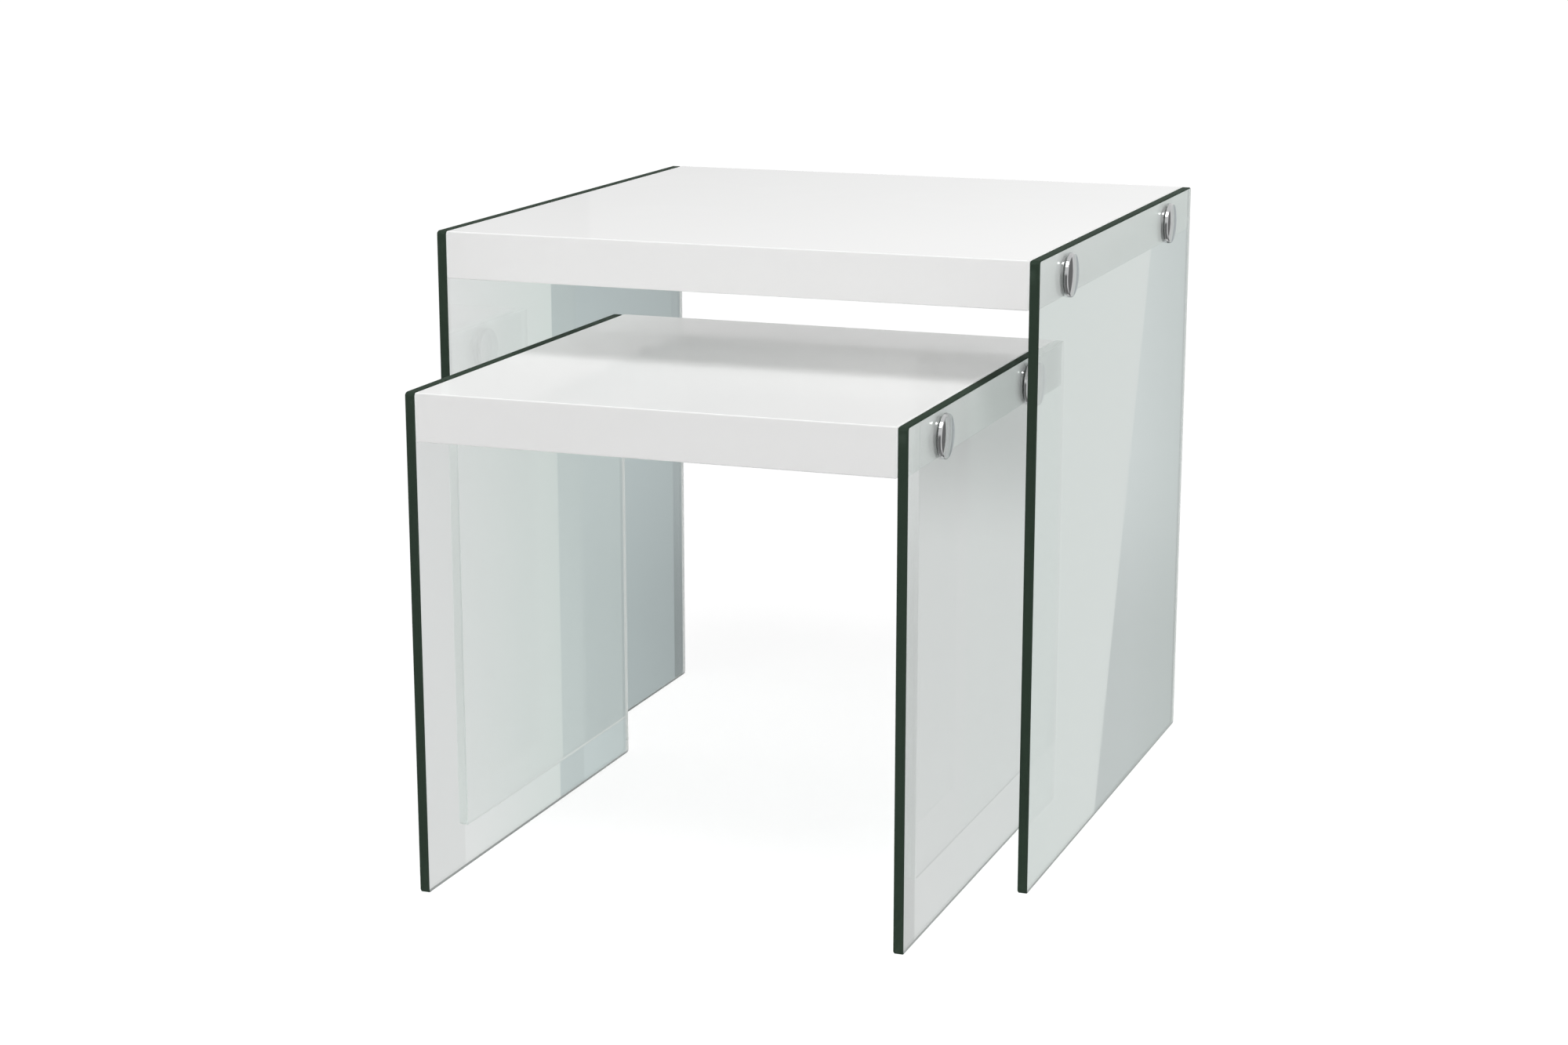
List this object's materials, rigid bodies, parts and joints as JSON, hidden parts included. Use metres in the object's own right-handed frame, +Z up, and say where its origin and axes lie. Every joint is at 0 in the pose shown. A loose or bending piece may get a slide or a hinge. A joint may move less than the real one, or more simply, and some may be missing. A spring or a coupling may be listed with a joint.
{
  "type": "nesting tables",
  "caption": "Nest of side tables: gloss tops held between clear glass side panels by chrome disc fixings, the smaller table sliding in under the larger one.",
  "frame": {"origin": "on the floor, in the middle of the nest's footprint with the small table drawn out as pictured", "axes": "+X to the right of someone facing the front, +Y from front to back, +Z up"},
  "size_m": [0.5096, 0.66, 0.5],
  "materials": {
    "lacquer": "white high-gloss lacquer on fibreboard",
    "core": "raw fibreboard strip",
    "glass": "clear toughened float glass with polished green edges",
    "chrome": "bright polished chrome plate",
    "steel": "zinc-plated thread",
    "brass": "turned brass",
    "nylon": "natural nylon",
    "gasket": "clear soft vinyl washer"
  },
  "bodies": {
    "large_table": {"large_top_skin": "lacquer", "large_bottom_skin": "lacquer", "large_front_rail": "lacquer", "large_back_rail": "lacquer", "large_left_rail": "lacquer", "large_right_rail": "lacquer", "large_left_rib": "core", "large_right_rib": "core", "large_left_glass": "glass", "large_right_glass": "glass", "large_front_left_cap": "chrome", "large_back_left_cap": "chrome", "large_front_right_cap": "chrome", "large_back_right_cap": "chrome", "large_inserts": "brass", "large_studs": "steel", "large_sleeves": "nylon", "large_outer_gaskets": "gasket", "large_inner_gaskets": "gasket"},
    "small_table": {"small_top_skin": "lacquer", "small_bottom_skin": "lacquer", "small_front_rail": "lacquer", "small_back_rail": "lacquer", "small_left_rail": "lacquer", "small_right_rail": "lacquer", "small_left_rib": "core", "small_right_rib": "core", "small_left_glass": "glass", "small_right_glass": "glass", "small_front_left_cap": "chrome", "small_back_left_cap": "chrome", "small_front_right_cap": "chrome", "small_back_right_cap": "chrome", "small_inserts": "brass", "small_studs": "steel", "small_sleeves": "nylon", "small_outer_gaskets": "gasket", "small_inner_gaskets": "gasket"}
  },
  "joints": [
    {"name": "small_table_slide", "type": "slide", "parent": "large_table", "child": "small_table", "axis": [0, -1, 0], "range_m": [-0.26, 0.26]}
  ]
}
